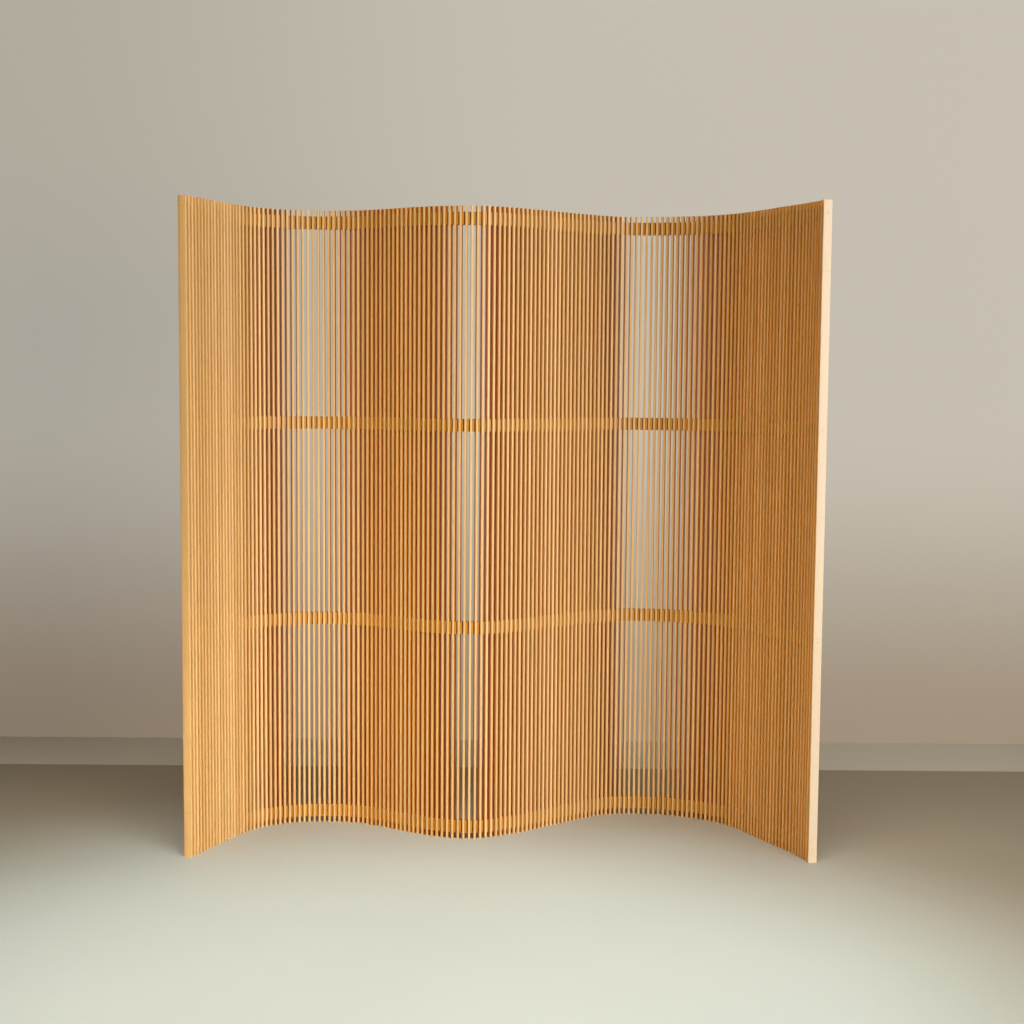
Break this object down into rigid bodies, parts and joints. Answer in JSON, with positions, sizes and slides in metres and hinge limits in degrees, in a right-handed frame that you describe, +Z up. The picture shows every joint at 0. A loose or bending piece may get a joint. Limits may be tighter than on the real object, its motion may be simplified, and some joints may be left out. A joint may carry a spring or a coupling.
{
  "type": "room divider",
  "caption": "Free-standing wave-shaped room divider: upright bamboo slats set edge-on, spaced by rocker blocks in level bands and strung on steel cables so that panels turn.",
  "frame": {"origin": "middle of the footprint, on the floor", "axes": "+X along the screen to the right, +Y away from the viewer, +Z up"},
  "size_m": [1.7422, 0.5082, 1.8],
  "materials": {
    "bamboo_slat": "oiled natural bamboo, satin, fine upright grain",
    "bamboo_spacer": "oiled bamboo block, darker than the slats, satin",
    "bamboo_plug": "bamboo plug sanded flush with the end slat",
    "steel_cable": "bright stainless wire rope with pressed stops"
  },
  "bodies": {
    "panel_01": {"slats_01": "bamboo_slat", "spacers_01": "bamboo_spacer", "cables_01": "steel_cable", "left_plugs": "bamboo_plug"},
    "panel_02": {"slats_02": "bamboo_slat", "spacers_02": "bamboo_spacer", "cables_02": "steel_cable"},
    "panel_03": {"slats_03": "bamboo_slat", "spacers_03": "bamboo_spacer", "cables_03": "steel_cable"},
    "panel_04": {"slats_04": "bamboo_slat", "spacers_04": "bamboo_spacer", "cables_04": "steel_cable"},
    "panel_05": {"slats_05": "bamboo_slat", "spacers_05": "bamboo_spacer", "cables_05": "steel_cable"},
    "panel_06": {"slats_06": "bamboo_slat", "spacers_06": "bamboo_spacer", "cables_06": "steel_cable"},
    "panel_07": {"slats_07": "bamboo_slat", "spacers_07": "bamboo_spacer", "cables_07": "steel_cable"},
    "panel_08": {"slats_08": "bamboo_slat", "spacers_08": "bamboo_spacer", "cables_08": "steel_cable"},
    "panel_09": {"slats_09": "bamboo_slat", "spacers_09": "bamboo_spacer", "cables_09": "steel_cable"},
    "panel_10": {"slats_10": "bamboo_slat", "spacers_10": "bamboo_spacer", "cables_10": "steel_cable"},
    "panel_11": {"slats_11": "bamboo_slat", "spacers_11": "bamboo_spacer", "cables_11": "steel_cable"},
    "panel_12": {"slats_12": "bamboo_slat", "spacers_12": "bamboo_spacer", "cables_12": "steel_cable"},
    "panel_13": {"slats_13": "bamboo_slat", "spacers_13": "bamboo_spacer", "cables_13": "steel_cable"},
    "panel_14": {"slats_14": "bamboo_slat", "spacers_14": "bamboo_spacer", "cables_14": "steel_cable"},
    "panel_15": {"slats_15": "bamboo_slat", "spacers_15": "bamboo_spacer", "cables_15": "steel_cable"},
    "panel_16": {"slats_16": "bamboo_slat", "spacers_16": "bamboo_spacer", "cables_16": "steel_cable"},
    "panel_17": {"slats_17": "bamboo_slat", "spacers_17": "bamboo_spacer", "cables_17": "steel_cable"},
    "panel_18": {"slats_18": "bamboo_slat", "spacers_18": "bamboo_spacer", "cables_18": "steel_cable"},
    "panel_19": {"slats_19": "bamboo_slat", "spacers_19": "bamboo_spacer", "cables_19": "steel_cable", "right_plugs": "bamboo_plug"}
  },
  "joints": [
    {"name": "turn_01_02", "type": "hinge", "parent": "panel_02", "child": "panel_01", "pos_m": [-0.81323, -0.13107, 0.9], "axis": [0, 0, -1], "range_deg": [-18, 18]},
    {"name": "turn_02_03", "type": "hinge", "parent": "panel_03", "child": "panel_02", "pos_m": [-0.76541, -0.0184, 0.9], "axis": [0, 0, -1], "range_deg": [-14.5, 21.5]},
    {"name": "turn_03_04", "type": "hinge", "parent": "panel_04", "child": "panel_03", "pos_m": [-0.68954, 0.07613, 0.9], "axis": [0, 0, -1], "range_deg": [-14.5, 21.5]},
    {"name": "turn_04_05", "type": "hinge", "parent": "panel_05", "child": "panel_04", "pos_m": [-0.57818, 0.12397, 0.9], "axis": [0, 0, -1], "range_deg": [-15.5, 20.5]},
    {"name": "turn_05_06", "type": "hinge", "parent": "panel_06", "child": "panel_05", "pos_m": [-0.45639, 0.12344, 0.9], "axis": [0, 0, -1], "range_deg": [-15, 21]},
    {"name": "turn_06_07", "type": "hinge", "parent": "panel_07", "child": "panel_06", "pos_m": [-0.34412, 0.07694, 0.9], "axis": [0, 0, -1], "range_deg": [-18, 18]},
    {"name": "turn_07_08", "type": "hinge", "parent": "panel_08", "child": "panel_07", "pos_m": [-0.24147, 0.01027, 0.9], "axis": [0, 0, -1], "range_deg": [-20.5, 15.5]},
    {"name": "turn_08_09", "type": "hinge", "parent": "panel_09", "child": "panel_08", "pos_m": [-0.12835, -0.03486, 0.9], "axis": [0, 0, -1], "range_deg": [-23.5, 12.5]},
    {"name": "turn_09_10", "type": "hinge", "parent": "panel_10", "child": "panel_09", "pos_m": [-0.01139, -0.01053, 0.9], "axis": [0, 0, -1], "range_deg": [-19, 17]},
    {"name": "turn_10_11", "type": "hinge", "parent": "panel_10", "child": "panel_11", "pos_m": [0.08818, 0.06049, 0.9], "axis": [0, 0, 1], "range_deg": [-18, 18]},
    {"name": "turn_11_12", "type": "hinge", "parent": "panel_11", "child": "panel_12", "pos_m": [0.1833, 0.13752, 0.9], "axis": [0, 0, 1], "range_deg": [-17.5, 18.5]},
    {"name": "turn_12_13", "type": "hinge", "parent": "panel_12", "child": "panel_13", "pos_m": [0.28135, 0.21074, 0.9], "axis": [0, 0, 1], "range_deg": [-13.5, 22.5]},
    {"name": "turn_13_14", "type": "hinge", "parent": "panel_13", "child": "panel_14", "pos_m": [0.39781, 0.2414, 0.9], "axis": [0, 0, 1], "range_deg": [-16, 20]},
    {"name": "turn_14_15", "type": "hinge", "parent": "panel_14", "child": "panel_15", "pos_m": [0.51797, 0.22021, 0.9], "axis": [0, 0, 1], "range_deg": [-16, 20]},
    {"name": "turn_15_16", "type": "hinge", "parent": "panel_15", "child": "panel_16", "pos_m": [0.62763, 0.16673, 0.9], "axis": [0, 0, 1], "range_deg": [-14.5, 21.5]},
    {"name": "turn_16_17", "type": "hinge", "parent": "panel_16", "child": "panel_17", "pos_m": [0.70754, 0.0756, 0.9], "axis": [0, 0, 1], "range_deg": [-17.5, 18.5]},
    {"name": "turn_17_18", "type": "hinge", "parent": "panel_17", "child": "panel_18", "pos_m": [0.76262, -0.03367, 0.9], "axis": [0, 0, 1], "range_deg": [-18.5, 17.5]},
    {"name": "turn_18_19", "type": "hinge", "parent": "panel_18", "child": "panel_19", "pos_m": [0.81866, -0.14247, 0.9], "axis": [0, 0, 1], "range_deg": [-16, 20]}
  ]
}
